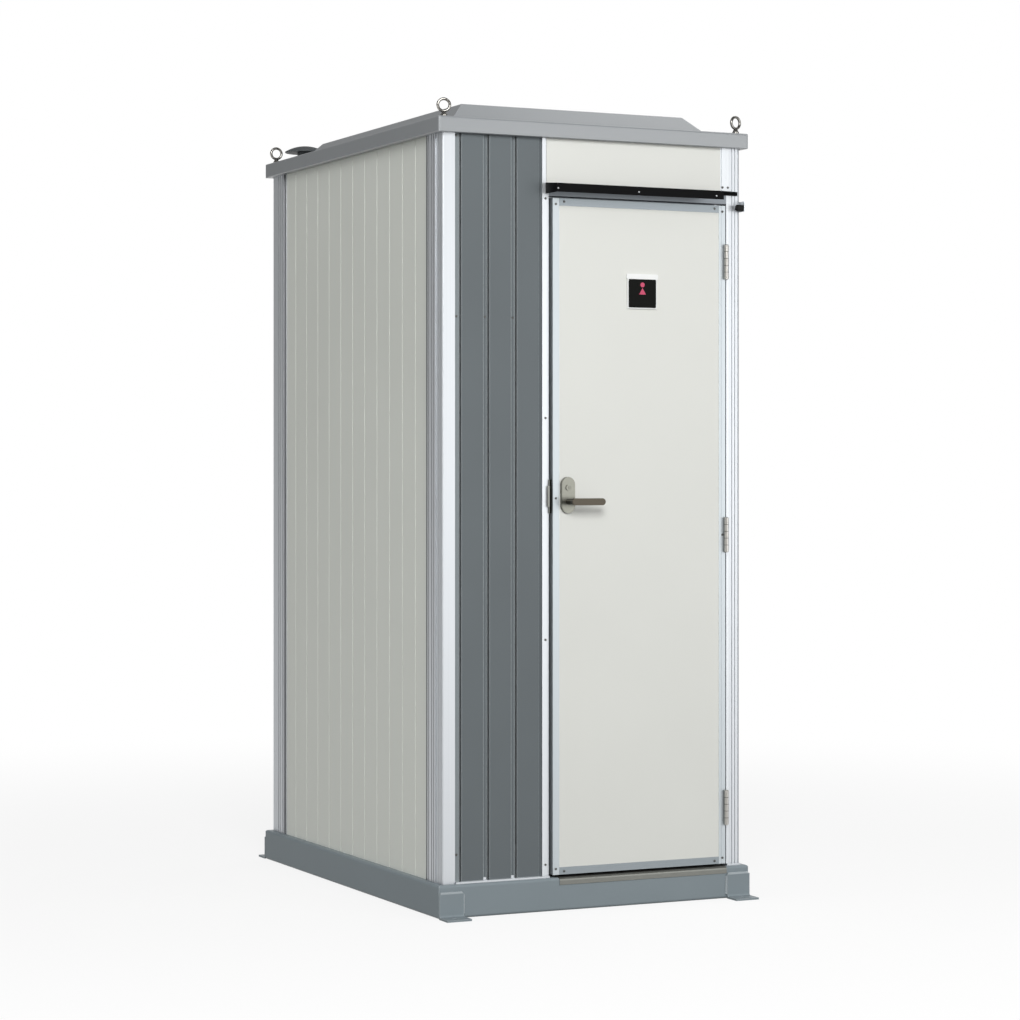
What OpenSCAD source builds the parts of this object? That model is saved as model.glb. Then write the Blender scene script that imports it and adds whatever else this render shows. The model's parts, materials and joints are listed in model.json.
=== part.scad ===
// Portable toilet cabin: panel walls in an aluminium post frame, standing on a welded steel skid.
// Millimetres. Origin on the ground at the middle of the skid, +Z up, the door faces -Y, +X to its right.

/* [Cabin] */
// Width over the skid and over the roof fascia
cabin_w = 1000; // [960:5:1100]
// Depth over the skid and over the roof fascia
cabin_d = 1380; // [1200:5:1600]
// Height from the ground to the top of the fascia
cabin_h = 2250; // [2235:5:2400]
// Distance from the skid's outer face in to the wall face
wall_inset = 20; // [16:1:26]

/* [Skid] */
// Height of the skid beams
base_h = 94; // [88:1:110]
// Width of the skid beams' flanges
base_flange = 65; // [62:1:80]
// Wall of the skid beams
base_t = 5; // [3:0.5:6]
// Outer bend radius of the skid beams
base_r = 8; // [6:0.5:10]
// Width of a foot bracket
foot_w = 75; // [60:1:100]
// Height of a foot bracket's upright leg
foot_rise = 71; // [50:1:80]
// Length of a foot bracket's flat leg
foot_reach = 60; // [45:1:80]
// Thickness of a foot bracket
foot_t = 6; // [4:0.5:8]
// Diameter of the anchor hole in a foot
anchor_d = 14; // [11:0.5:18]

/* [Walls] */
// Width of a corner post's plain face
post_w = 39; // [36:1:46]
// Width of a corner post's grooved face
post_d = 35; // [33:1:42]
// Width of the grooved stiles beside the posts
stile_w = 78; // [74:1:86]
// How far the stiles stand out of the wall face
stile_proud = 3; // [1:0.5:4]
// Thickness of the walls
wall_t = 27; // [25:0.5:32]
// Distance between the wall panels' grooves
rib_pitch = 95; // [70:1:120]
// Width of a wall panel's groove
rib_w = 5; // [2:0.5:8]
// Depth of a wall panel's groove
rib_depth = 3; // [1:0.5:5]
// Thickness of the floor panel
floor_t = 12; // [9:1:14]
// Thickness of the ceiling panel
ceiling_t = 25; // [18:1:30]

/* [Front cladding] */
// Width of the clad stretch between the post and the door jamb
cladding_w = 273; // [262:1:290]
// Width of the starter strip beside the post
starter_w = 15; // [12:0.5:18]
// Distance between neighbouring cladding boards
board_pitch = 87; // [82:1:92]
// Width of the shadow gap in front of each board
board_gap = 3; // [2:0.5:4]
// Width of the tongue that lies back between two boards
tongue_w = 12; // [9:0.5:14]
// How far the boards stand out of the wall face
board_proud = 2; // [1:0.5:4]
// How far the tongues lie behind the wall face
tongue_back = 5; // [3:0.5:7]
// Height of the aluminium sill under the front wall
sill_h = 5; // [3:0.5:6]

/* [Doorway] */
// Width of the left door jamb
jamb_left_w = 20.5; // [18:0.5:26]
// Width of the right door jamb
jamb_right_w = 9.5; // [8:0.5:14]
// Height of the door head
head_h = 35; // [30:1:46]
// Height of the panel over the door
transom_h = 146; // [120:1:200]
// Thickness of the door leaf
door_t = 36; // [34:0.5:38]
// How far the door leaf stands out of the wall face
door_proud = 13; // [11:0.5:15]
// Gap round the door leaf at the latch side and the head
door_gap = 7; // [6:0.5:8]
// Gap between the door leaf and the right jamb
hinge_gap = 10.5; // [10:0.5:12]
// Gap under the door leaf
door_lift = 6; // [5:0.5:8]
// Width of the aluminium edging on the door's face
edging_w = 21; // [18:0.5:26]
// Sheet thickness of the threshold and the edging
sheet_t = 2; // [1.5:0.25:2.5]

/* [Door furniture] */
// Height of a hinge
hinge_h = 100; // [80:2:120]
// Radius of the hinge knuckles
knuckle_r = 6.5; // [5.5:0.25:7]
// Distance from the leaf's ends to the outer hinges' middles
hinge_end = 165; // [120:1:240]
// Distance from the leaf's edge to the lever's axis
backset = 46; // [45:1:64]
// Height of the lever's axis above the leaf's lower edge
lever_z = 1065; // [950:5:1100]
// Length of the lever from its axis to its tip
lever_len = 98; // [80:1:120]
// Height of the lever's grip
lever_bar_h = 20; // [16:1:24]
// Width of the lock plates
lock_plate_w = 44; // [40:1:50]
// Height of the lock plates
lock_plate_h = 104; // [96:1:120]
// Thickness of the lock plates
lock_plate_t = 9; // [6:0.5:12]
// Width of the sign
sign_w = 89; // [60:1:120]
// Height of the sign
sign_h = 82; // [60:1:120]
// Distance from the leaf's latch edge to the sign's middle
sign_in = 288; // [200:1:380]
// Distance from the leaf's upper edge down to the sign's upper edge
sign_down = 224; // [150:1:400]

/* [Roof] */
// Height of the fascia
fascia_h = 45; // [38:1:60]
// Sheet thickness of the fascia
fascia_t = 3; // [2:0.5:4]
// Width of the fascia's top flange
fascia_flange = 62; // [55:1:75]
// Height of the raised roof pan
pan_rise = 57; // [35:1:60]
// Sheet thickness of the roof pan
pan_t = 1.5; // [1:0.25:2]
// Flat margin beside the raised roof pan
pan_margin_x = 83; // [80:1:92]
// Flat margin in front of and behind the raised roof pan
pan_margin_y = 96; // [94:1:110]
// Radius of the vent's cap
vent_r = 65; // [50:1:66]
// Radius of the vent's pipe
vent_pipe_r = 25; // [18:1:28]
// Outer diameter of a lifting eye's ring
eye_d = 42; // [36:1:50]
// Thickness of a lifting eye's ring
eye_wire = 8; // [6:0.5:10]
// Distance from the fascia's faces to a lifting eye's axis
eye_inset = 28; // [22:1:30]

/* [Rain hood] */
// How far the hood's lip stands out of the wall face
hood_reach = 75; // [50:1:78]
// Height of the hood's lip
hood_lip = 25; // [15:1:30]
// Distance the lip's right end lies short of the sheet's right end
hood_cut = 86; // [0:1:110]

/* [Hidden] */
$fn = 48;
// Clearance between fixed pieces that are set against each other
fit = 0.2;
// Running clearance of the hinge pins and the lever's spindle
run = 0.08;
// Overshoot of a cut past the face it leaves
eps = 1;

base_corner_r = 4;
half_w = cabin_w / 2;
half_d = cabin_d / 2;
wall_x = half_w - wall_inset;
wall_y = half_d - wall_inset;
room_x = wall_x - wall_t;
room_y = wall_y - wall_t;
post_top = cabin_h - fascia_t;
wall_top = post_top - ceiling_t;
// The corners: the side each lies on, and the turn of its post
corners = [[-1, -1, 0], [1, -1, 90], [1, 1, 180], [-1, 1, -90]];

// Front wall, from the left post to the right post
clad_x = -wall_x + post_w;
jamb_left_x = clad_x + cladding_w;
opening_l = jamb_left_x + jamb_left_w;
opening_r = wall_x - post_d - jamb_right_w;
front_z = base_h + sill_h + fit;
board_n = 3;
board_t = 12;
board_bevel = 3;
end_bevel = 12;
tongue_lip_w = 3.5;
tongue_lip_rise = 2;
// The strip at the transom's right end, and the transom's face sheet
strip_w = 21;
skin_t = 2;
board_face = board_pitch - board_gap - tongue_w - board_bevel;
board_back = -board_proud + board_t;

// Door leaf
leaf_l = opening_l + door_gap;
leaf_r = opening_r - hinge_gap;
leaf_front = -wall_y - door_proud;
leaf_rear = leaf_front + door_t;
leaf_z = base_h + sheet_t + door_lift;
transom_z = wall_top - transom_h;
head_z = transom_z - head_h;
leaf_top = head_z - door_gap;
door_h = leaf_top - leaf_z;
panel_recess = 1.5;
edging_lap = 15;
// The stop behind the leaf
stop_gap = 6;
stop_t = 6;
stop_lap = 13;
stop_y = leaf_rear + stop_gap;

// Hinges
knuckle_clear = 0.5;
hinge_pin_r = 3;
hinge_leaf_t = 2;
hinge_x = leaf_r - fit;
hinge_y = leaf_front - knuckle_r - knuckle_clear;
knuckle_n = 5;
knuckle_slack = 0.5;
knuckle_h = hinge_h / knuckle_n;
hinge_zs = [leaf_z + hinge_end, (leaf_z + leaf_top) / 2, leaf_top - hinge_end];

// Door stop
buffer_r = 9.5;
buffer_l = 21;
strap_t = 2;
strap_rim = 1.5;
strap_up = 9.5;
buffer_out = 18;
buffer_down = 4;
buffer_y = -wall_y - buffer_out;
buffer_z = leaf_top - buffer_down;

// Lock
lever_x = leaf_l + backset;
lever_axis_z = leaf_z + lever_z;
plate_below = 33;
plate_z = lever_axis_z - plate_below + lock_plate_h / 2;
cylinder_up = 40;
cylinder_z = lever_axis_z + cylinder_up;
cylinder_r = 8.5;
neck_r = 8;
neck_run = 0.3;
lever_stand = 34;
lever_bar_t = 10;
keep_h = 96;
keep_w = 20;
keep_t = 1.5;
keep_y = (leaf_front + leaf_rear) / 2;
keep_up = 15;
keep_z = lever_axis_z + keep_up;

// Sign
sign_t = 3;
sign_x = leaf_l + sign_in;
sign_z = leaf_top - sign_down - sign_h;
sign_r = 4;
holder_t = 2;
holder_rim = 3;
rail_h = 15;
rail_over = 7;
clip_h = 6;

// Roof
fascia_r = 6;
fascia_return = wall_inset - max(board_proud, skin_t, stile_proud) - fit;
pan_skirt = 40;
pan_slope = 1;
vent_in_x = 114;
vent_in_y = 64;
vent_lift = 36;
vent_rim_t = 3;
vent_dome = 18;
eye_lift = 33;
eye_z = cabin_h + eye_lift;
eye_turns = [[-1, -1, -16], [1, -1, 14], [1, 1, -20], [-1, 1, -6]];

// Hood
hood_t = 2;
hood_lap = 11;
hood_short = 9;
hood_up = 2;
hood_l = opening_l - hood_lap;
hood_r = wall_x - hood_short;
hood_z = transom_z + hood_up;
hood_wall_y = -wall_y - skin_t - fit;
hood_lip_y = -wall_y - hood_reach;
hood_fall = 7;
hood_back = 12;

// A box given by its two corners
module span(low, high) {
    translate(low)
        cube(high - low);
}

// Puts what is drawn for the front, with its outer face on Y = 0, on the side turned by a
module on_side(a, dist) {
    rotate([0, 0, a])
        translate([0, -dist, 0])
            children();
}

// A mitred length of a frame: the child is the section, X inward from the outer face and Y up
module mitred(len, depth, height, corner_r) {
    intersection() {
        translate([-len / 2, 0, 0])
            rotate([90, 0, 90])
                linear_extrude(len)
                    children();
        linear_extrude(height)
            polygon([
                [-len / 2 + fit, 0],
                [len / 2 - fit, 0],
                [len / 2 - depth - fit, depth],
                [-len / 2 + depth + fit, depth]
            ]);
        linear_extrude(height)
            difference() {
                translate([-len / 2, 0])
                    square([len, depth]);
                for (side = [0, 1])
                    mirror([side, 0])
                        translate([-len / 2, 0])
                            corner_cut(corner_r);
            }
    }
}

// A section extruded along X from x0 to x1: the section's X is Y, its Y is Z
module along_x(x0, x1) {
    translate([x0, 0, 0])
        rotate([90, 0, 90])
            linear_extrude(x1 - x0)
                children();
}

// A block whose two corners at X = 0 are rounded
module nosed(depth, height, r_low, r_high) {
    difference() {
        square([depth, height]);
        if (r_low > 0)
            corner_cut(r_low);
        if (r_high > 0)
            translate([0, height])
                mirror([0, 1])
                    corner_cut(r_high);
    }
}

// What rounding the corner of a block at the origin takes away
module corner_cut(r) {
    difference() {
        translate([-eps, -eps])
            square(r + eps);
        translate([r, r])
            circle(r);
    }
}

// A flat bar with round ends, standing on the middle of its lower end
module obround(w, h) {
    translate([0, -(h - w) / 2])
        circle(w / 2);
    translate([0, (h - w) / 2])
        circle(w / 2);
    square([w, h - w], center = true);
}

// Skid

module base_section() {
    difference() {
        nosed(base_flange, base_h, base_r, base_r);
        translate([base_t, base_t])
            nosed(base_flange, base_h - 2 * base_t, base_r - base_t, base_r - base_t);
    }
}

module base_beam(a, dist, len) {
    color("slategray")
        on_side(a, dist)
            mitred(len, base_flange, base_h, base_corner_r)
                base_section();
}

module base_front() { base_beam(0, half_d, cabin_w); }
module base_right() { base_beam(90, half_w, cabin_d); }
module base_rear() { base_beam(180, half_d, cabin_w); }
module base_left() { base_beam(-90, half_w, cabin_d); }

// A bent bracket on the front face, its section running outward from the beam
module foot_section() {
    difference() {
        union() {
            translate([-foot_t, 0])
                square([foot_t, foot_rise]);
            translate([-foot_reach, 0])
                square([foot_reach, foot_t]);
            translate([-2 * foot_t, foot_t])
                square(foot_t);
        }
        translate([-2 * foot_t, 2 * foot_t])
            circle(foot_t);
        mirror([1, 0])
            corner_cut(foot_t);
    }
}

// Side is -1 for the bracket at the beam's left end and 1 for the one at its right end
module foot(a, side) {
    x0 = side < 0 ? -half_w : half_w - foot_w;
    color("slategray")
        on_side(a, half_d)
            difference() {
                along_x(x0, x0 + foot_w)
                    foot_section();
                translate([x0 + foot_w / 2, -(foot_reach + foot_t) / 2, -eps])
                    cylinder(d = anchor_d, h = foot_t + 2 * eps);
            }
}

module foot_front_left() { foot(0, -1); }
module foot_front_right() { foot(0, 1); }
module foot_rear_right() { foot(180, -1); }
module foot_rear_left() { foot(180, 1); }

module floor_panel() {
    color("dimgray")
        difference() {
            span([-room_x + fit, stop_y + stop_t + fit, base_h],
                 [room_x - fit, room_y - fit, base_h + floor_t]);
            translate([0, 0, base_h - eps])
                linear_extrude(floor_t + 2 * eps)
                    post_notches();
        }
}

// The stainless angle bent over the skid's edge in the doorway
module threshold_section() {
    front_leg = 20;
    top_leg = stop_y + stop_t + half_d;
    difference() {
        translate([-sheet_t, base_h - front_leg])
            nosed(top_leg + sheet_t, front_leg + sheet_t, 0, base_r + sheet_t);
        translate([0, base_h - front_leg - eps])
            nosed(top_leg + eps, front_leg + eps, 0, base_r);
    }
}

module threshold() {
    left_in = 25;
    right_in = 10.5;
    color("rosybrown")
        translate([0, -half_d, 0])
            along_x(opening_l + left_in, opening_r - right_in)
                threshold_section();
}

// Posts and walls

// The corner post's section: plain on the face along X, grooved on the face along Y
module post_section() {
    corner_r = 4;
    groove_w = 2.4;
    groove_depth = 3;
    grooves = [3.5, 14.5, 24.5];
    difference() {
        square([post_w, post_d]);
        corner_cut(corner_r);
        for (y = grooves)
            translate([-eps, y])
                square([groove_depth + eps, groove_w]);
    }
}

// Puts what is drawn for the front left corner on the given one
module at_corner(corner) {
    translate([corner[0] * wall_x, corner[1] * wall_y, 0])
        rotate([0, 0, corner[2]])
            children();
}

module post(corner) {
    color("whitesmoke")
        at_corner(corner)
            translate([0, 0, base_h])
                linear_extrude(post_top - base_h)
                    post_section();
}

module post_front_left() { post(corners[0]); }
module post_front_right() { post(corners[1]); }
module post_rear_right() { post(corners[2]); }
module post_rear_left() { post(corners[3]); }

// What the four posts take from a panel's corners
module post_notches() {
    for (corner = corners)
        at_corner(corner)
            translate([-eps, -eps])
                square([post_w + fit + eps, post_d + fit + eps]);
}

// The stile's section, X from the post towards the panel and Y inward from the wall face:
// a shoulder flush with the post, a grooved face that stands proud, a rebate and a lip at the panel
module stile_section() {
    shoulder_w = 8;
    grooves = [17, 31, 52];
    groove_w = 4;
    groove_depth = 5;
    lip_w = 2;
    rebate_w = 13;
    rebate_depth = 9;
    difference() {
        union() {
            translate([fit, 0])
                square([stile_w - 2 * fit, wall_t]);
            translate([shoulder_w, -stile_proud])
                square([stile_w - lip_w - shoulder_w, stile_proud + eps]);
        }
        for (x = grooves)
            translate([x, -stile_proud - eps])
                square([groove_w, groove_depth + eps]);
        translate([stile_w - lip_w - rebate_w, -stile_proud - eps])
            square([rebate_w, rebate_depth + eps]);
    }
}

// The two stiles of a side whose posts' outer faces lie half_len from its middle:
// seen from outside, the left one stands by a post's plain face and the right one by a grooved face
module stile_pair(a, dist, half_len) {
    beside = [post_w, post_d];
    color("silver")
        on_side(a, dist)
            for (side = [0, 1])
                mirror([side, 0, 0])
                    translate([-half_len + beside[side], 0, base_h])
                        linear_extrude(wall_top - base_h)
                            stile_section();
}

module left_stiles() { stile_pair(-90, wall_x, wall_y); }
module right_stiles() { stile_pair(90, wall_x, wall_y); }
module rear_stiles() { stile_pair(180, wall_y, wall_x); }

// A panel with upright V grooves, its face a little behind the stiles
module ribbed_wall(a, dist, half_len) {
    face_back = 3;
    left = half_len - post_w - stile_w;
    right = half_len - post_d - stile_w;
    ribs = floor((min(left, right) - rib_w) / rib_pitch);
    color("gainsboro")
        on_side(a, dist)
            translate([0, 0, base_h])
                linear_extrude(wall_top - base_h)
                    difference() {
                        translate([-left, face_back])
                            square([left + right, wall_t - face_back]);
                        for (i = [-ribs : ribs])
                            translate([i * rib_pitch, face_back])
                                polygon([[-rib_w / 2, -eps], [-rib_w / 2, 0], [0, rib_depth],
                                         [rib_w / 2, 0], [rib_w / 2, -eps]]);
                    }
}

module left_wall() { ribbed_wall(-90, wall_x, wall_y); }
module right_wall() { ribbed_wall(90, wall_x, wall_y); }
module rear_wall() { ribbed_wall(180, wall_y, wall_x); }

// Front wall beside the doorway

module front_panel() {
    color("lightgray")
        span([clad_x + fit, -wall_y + board_back + fit, front_z],
             [jamb_left_x - fit, -wall_y + wall_t, wall_top]);
}

// The face of a tongue from x0 to its free edge at x1, where a lip rises
function tongue_face(x0, x1) = [
    [x0, tongue_back],
    [x1 - tongue_lip_w, tongue_back],
    [x1 - tongue_lip_w + tongue_lip_rise, tongue_back - tongue_lip_rise],
    [x1, tongue_back - tongue_lip_rise]
];

module cladding_starter() {
    back = [[starter_w, board_back], [fit, board_back]];
    color("gray")
        translate([clad_x, -wall_y, front_z])
            linear_extrude(wall_top - front_z)
                polygon(concat(tongue_face(fit, starter_w), back));
}

// A cladding board: a flat face, a bevel and a tongue that the next board's edge stands over
module board(i) {
    arris_w = 2.5;
    arris_depth = 1.5;
    x0 = clad_x + starter_w + board_gap + i * board_pitch;
    last = i == board_n - 1;
    end = last ? jamb_left_x - fit - x0 : board_pitch - board_gap;
    face = last ? end - end_bevel : board_face;
    front = [[0, arris_depth - board_proud], [arris_w, -board_proud], [face, -board_proud]];
    edge = last ? [[end, tongue_back]] : tongue_face(face + board_bevel, end);
    back = [[end, board_back], [0, board_back]];
    color("dimgray")
        translate([x0, -wall_y, front_z])
            linear_extrude(wall_top - front_z)
                polygon(concat(front, edge, back));
}

module cladding_board_left() { board(0); }
module cladding_board_middle() { board(1); }
module cladding_board_right() { board(2); }

// The aluminium strip under the front wall, on both sides of the doorway
module front_sill() {
    sill_out = 7;
    color("white") {
        span([clad_x + fit, -wall_y - sill_out, base_h],
             [opening_l, -wall_y + wall_t, base_h + sill_h]);
        span([opening_r, -wall_y - sill_out, base_h],
             [wall_x - post_d - fit, -wall_y + wall_t, base_h + sill_h]);
        span([opening_r, -wall_y - sill_out, base_h],
             [wall_x, -wall_y - fit, base_h + sill_h]);
    }
}

// Doorway frame

// A jamb's section with its outer edge at X = 0: a bar across the wall and a stop behind the leaf
module jamb_section(w, stop_reach) {
    translate([0, -wall_y])
        square([w, stop_y + stop_t + wall_y]);
    translate([0, stop_y])
        square([stop_reach, stop_t]);
}

module jamb_left() {
    color("whitesmoke")
        difference() {
            translate([jamb_left_x, 0, front_z])
                linear_extrude(wall_top - front_z)
                    jamb_section(jamb_left_w, leaf_l + stop_lap - jamb_left_x);
            keep_pocket(opening_l - keep_t - fit);
        }
}

// The pocket that holds the lock's flat plates, in the jamb or in the leaf's edge
module keep_pocket(x) {
    span([x, keep_y - keep_w / 2 - fit, keep_z - keep_h / 2 - fit],
         [x + keep_t + fit + eps, keep_y + keep_w / 2 + fit, keep_z + keep_h / 2 + fit]);
}

// The jamb beside the hinges, and the strip above it at the transom's right end
module jamb_right() {
    post_x = wall_x - post_d - fit;
    step_w = 6;
    step_depth = 2;
    color("whitesmoke") {
        translate([post_x, 0, front_z])
            linear_extrude(wall_top - front_z)
                mirror([1, 0])
                    jamb_section(post_x - opening_r, post_x - leaf_r + stop_lap);
        span([opening_r - strip_w, -wall_y + step_depth, transom_z + fit],
             [opening_r - fit, -wall_y + wall_t, wall_top]);
        span([opening_r - strip_w + step_w, -wall_y, transom_z + fit],
             [opening_r - fit, -wall_y + wall_t, wall_top]);
    }
}

// The head: a bar between the jambs, and a stop between the jambs' stops
module door_head() {
    color("whitesmoke") {
        span([opening_l + fit, -wall_y, head_z],
             [opening_r - fit, stop_y - fit, transom_z - fit]);
        span([leaf_l + stop_lap + fit, stop_y - eps, head_z],
             [leaf_r - stop_lap - fit, stop_y + stop_t, transom_z - fit]);
        span([leaf_l + stop_lap + fit, stop_y, leaf_top - stop_lap],
             [leaf_r - stop_lap - fit, stop_y + stop_t, head_z + eps]);
    }
}

// The panel over the door, whose face sheet laps the left jamb
module transom_panel() {
    lap = 7.5;
    color("whitesmoke") {
        span([opening_l + fit, -wall_y - skin_t, transom_z],
             [opening_r - strip_w - fit, -wall_y + wall_t, wall_top]);
        span([opening_l - lap, -wall_y - skin_t, transom_z],
             [opening_l + eps, -wall_y - fit, wall_top]);
    }
}

// The hood's sheet: a flange down the wall, a top that falls to the front, and a lip
module hood_section() {
    z1 = hood_z - hood_fall;
    polygon([
        [hood_wall_y, hood_z - hood_back],
        [hood_wall_y, hood_z],
        [hood_lip_y, z1],
        [hood_lip_y, z1 - hood_lip],
        [hood_lip_y + hood_t, z1 - hood_lip],
        [hood_lip_y + hood_t, z1 - hood_t],
        [hood_wall_y - hood_t, hood_z - hood_t],
        [hood_wall_y - hood_t, hood_z - hood_back]
    ]);
}

// The closed left end
module hood_end_section() {
    z1 = hood_z - hood_fall;
    polygon([
        [hood_wall_y, z1 - hood_lip],
        [hood_wall_y, hood_z],
        [hood_lip_y, z1],
        [hood_lip_y, z1 - hood_lip]
    ]);
}

module rain_hood() {
    color([0.08, 0.08, 0.08])
        difference() {
            union() {
                along_x(hood_l, hood_r)
                    hood_section();
                along_x(hood_l, hood_l + hood_t)
                    hood_end_section();
            }
            translate([0, 0, hood_z - 2 * hood_lip])
                linear_extrude(3 * hood_lip)
                    polygon([
                        [hood_r, hood_wall_y - hood_t],
                        [hood_r + eps, hood_wall_y - hood_t],
                        [hood_r + eps, hood_lip_y - eps],
                        [hood_r - hood_cut, hood_lip_y - eps],
                        [hood_r - hood_cut, hood_lip_y + hood_t]
                    ]);
        }
}

// Roof

module fascia_section() {
    difference() {
        nosed(fascia_flange, fascia_h, fascia_t, fascia_r);
        translate([fascia_t, fascia_t])
            nosed(fascia_flange, fascia_h - 2 * fascia_t, 0, fascia_r - fascia_t);
        translate([fascia_return, -eps])
            square([fascia_flange, fascia_t + 2 * eps]);
    }
}

module fascia(a, dist, len) {
    color("darkgray")
        translate([0, 0, cabin_h - fascia_h])
            on_side(a, dist)
                mitred(len, fascia_flange, fascia_h, fascia_r)
                    fascia_section();
}

module fascia_front() { fascia(0, half_d, cabin_w); }
module fascia_right() { fascia(90, half_w, cabin_d); }
module fascia_rear() { fascia(180, half_d, cabin_w); }
module fascia_left() { fascia(-90, half_w, cabin_d); }

// The ceiling lies on the walls, notched round the corner posts
module ceiling_panel() {
    color("gainsboro")
        translate([0, 0, wall_top])
            linear_extrude(ceiling_t)
                difference() {
                    square([2 * wall_x, 2 * wall_y], center = true);
                    post_notches();
                }
}

// The raised part of the roof pan, shrunk by a sheet thickness for its inside
module pan_hump(shrink) {
    foot_x = half_w - pan_margin_x - shrink;
    foot_y = half_d - pan_margin_y - shrink;
    top_x = foot_x - pan_rise * pan_slope;
    top_y = foot_y - pan_rise * pan_slope;
    thin = 0.5;
    hull() {
        translate([0, 0, cabin_h + thin / 2 - (shrink > 0 ? eps : 0)])
            cube([2 * foot_x, 2 * foot_y, thin], center = true);
        translate([0, 0, cabin_h + pan_rise - thin / 2 - shrink])
            cube([2 * top_x, 2 * top_y, thin], center = true);
    }
}

module roof_pan() {
    skirt_x = half_w - pan_skirt;
    skirt_y = half_d - pan_skirt;
    color("darkgray")
        difference() {
            union() {
                span([-skirt_x, -skirt_y, cabin_h], [skirt_x, skirt_y, cabin_h + pan_t]);
                pan_hump(0);
            }
            pan_hump(pan_t);
        }
}

// The vent: a short pipe on the pan's margin under a shallow domed cap
module vent_cap() {
    dome_r = (vent_r * vent_r + vent_dome * vent_dome) / (2 * vent_dome);
    foot_z = pan_t;
    cap_z = vent_lift + vent_rim_t;
    color("dimgray")
        translate([-half_w + vent_in_x, half_d - vent_in_y, cabin_h]) {
            translate([0, 0, foot_z])
                cylinder(r = vent_pipe_r, h = vent_lift - foot_z + eps);
            translate([0, 0, vent_lift])
                cylinder(r = vent_r, h = vent_rim_t);
            intersection() {
                translate([0, 0, cap_z + vent_dome - dome_r])
                    sphere(r = dome_r);
                translate([0, 0, cap_z - eps])
                    cylinder(r = vent_r, h = vent_dome + 2 * eps);
            }
        }
}

// A lifting eye: a collar, a tapered neck and a ring
module lifting_eye() {
    collar_r = 10;
    collar_h = 6;
    neck_low_r = 9;
    neck_high_r = 5;
    neck_top = eye_lift - eye_d / 2 + eye_wire / 2;
    translate([0, 0, cabin_h]) {
        cylinder(r = collar_r, h = collar_h);
        translate([0, 0, collar_h])
            cylinder(r1 = neck_low_r, r2 = neck_high_r, h = neck_top - collar_h);
    }
    translate([0, 0, eye_z])
        rotate([90, 0, 0])
            rotate_extrude()
                translate([(eye_d - eye_wire) / 2, 0])
                    circle(eye_wire / 2);
}

module lifting_eyes() {
    color("silver")
        for (e = eye_turns)
            translate([e[0] * (half_w - eye_inset), e[1] * (half_d - eye_inset), 0])
                rotate([0, 0, e[2]])
                    lifting_eye();
}

// Hinges

// The knuckles numbered in the list, as one upright barrel each
module knuckles(list, r) {
    for (i = list)
        translate([hinge_x, hinge_y, i * knuckle_h + knuckle_slack / 2])
            cylinder(r = r, h = knuckle_h - knuckle_slack);
}

// The frame's half: three knuckles, the pin, and a bent leaf across the gap and along the jamb's edge
module frame_hinge() {
    plate_r = opening_r - fit;
    plate_l = plate_r - hinge_leaf_t;
    bend_y = hinge_y + knuckle_r;
    knuckles([0, 2, 4], knuckle_r);
    translate([hinge_x, hinge_y, knuckle_slack / 2])
        cylinder(r = hinge_pin_r, h = hinge_h - knuckle_slack);
    for (i = [0, 2, 4]) {
        low = i * knuckle_h + knuckle_slack / 2;
        high = (i + 1) * knuckle_h - knuckle_slack / 2;
        span([hinge_x, bend_y - hinge_leaf_t, low], [plate_r, bend_y, high]);
        span([plate_l, bend_y - hinge_leaf_t, low], [plate_r, -wall_y + eps, high]);
    }
    span([plate_l, -wall_y, knuckle_slack / 2], [plate_r, -wall_y + wall_t, hinge_h - knuckle_slack / 2]);
}

module frame_hinges() {
    color("silver")
        for (z = hinge_zs)
            translate([0, 0, z - hinge_h / 2])
                frame_hinge();
}

// The door's half: two knuckles on the pin and a leaf on the door's edge
module door_hinge() {
    leaf_in = 7;
    leaf_short = 1;
    difference() {
        union() {
            knuckles([1, 3], knuckle_r);
            for (i = [1, 3]) {
                low = i * knuckle_h + knuckle_slack / 2;
                high = (i + 1) * knuckle_h - knuckle_slack / 2;
                span([leaf_r + fit, hinge_y, low],
                     [leaf_r + fit + hinge_leaf_t, leaf_front + leaf_in + eps, high]);
            }
        }
        translate([hinge_x, hinge_y, -eps])
            cylinder(r = hinge_pin_r + run, h = hinge_h + 2 * eps);
    }
    span([leaf_r + fit, leaf_front + leaf_in, knuckle_slack / 2],
         [leaf_r + fit + hinge_leaf_t, leaf_rear - leaf_short, hinge_h - knuckle_slack / 2]);
}

module door_hinges() {
    color("silver")
        for (z = hinge_zs)
            translate([0, 0, z - hinge_h / 2])
                door_hinge();
}

// The strike plate in the jamb, with the lip that guides the latch
module strike_plate() {
    lip_w = 6;
    lip_h = 60;
    y0 = keep_y - keep_w / 2;
    color("tan") {
        span([opening_l - keep_t, y0, keep_z - keep_h / 2],
             [opening_l, keep_y + keep_w / 2, keep_z + keep_h / 2]);
        span([opening_l - lip_w, y0 - keep_t, keep_z - lip_h / 2],
             [opening_l, y0 + fit, keep_z + lip_h / 2]);
    }
}

// A strap on the right post's side that stands out of the front face and carries a buffer
module door_stop_strap() {
    back = 34;
    color("silver")
        span([wall_x + fit, buffer_y - buffer_r - strap_rim, buffer_z - buffer_r - strap_rim],
             [wall_x + fit + strap_t, -wall_y + back, buffer_z + buffer_r + strap_up]);
}

// The rubber buffer, pointing towards the door, its front edge rounded
module door_stop() {
    nose = 3;
    color([0.1, 0.1, 0.1])
        translate([wall_x, buffer_y, buffer_z])
            rotate([0, -90, 0])
                rotate_extrude()
                    difference() {
                        square([buffer_r, buffer_l]);
                        translate([buffer_r, buffer_l])
                            mirror([1, 1])
                                corner_cut(nose);
                    }
}

// Door

module spindle_hole(r) {
    translate([lever_x, leaf_front - lock_plate_t - eps, lever_axis_z])
        rotate([-90, 0, 0])
            cylinder(r = r, h = door_t + 2 * lock_plate_t + 2 * eps);
}

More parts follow.
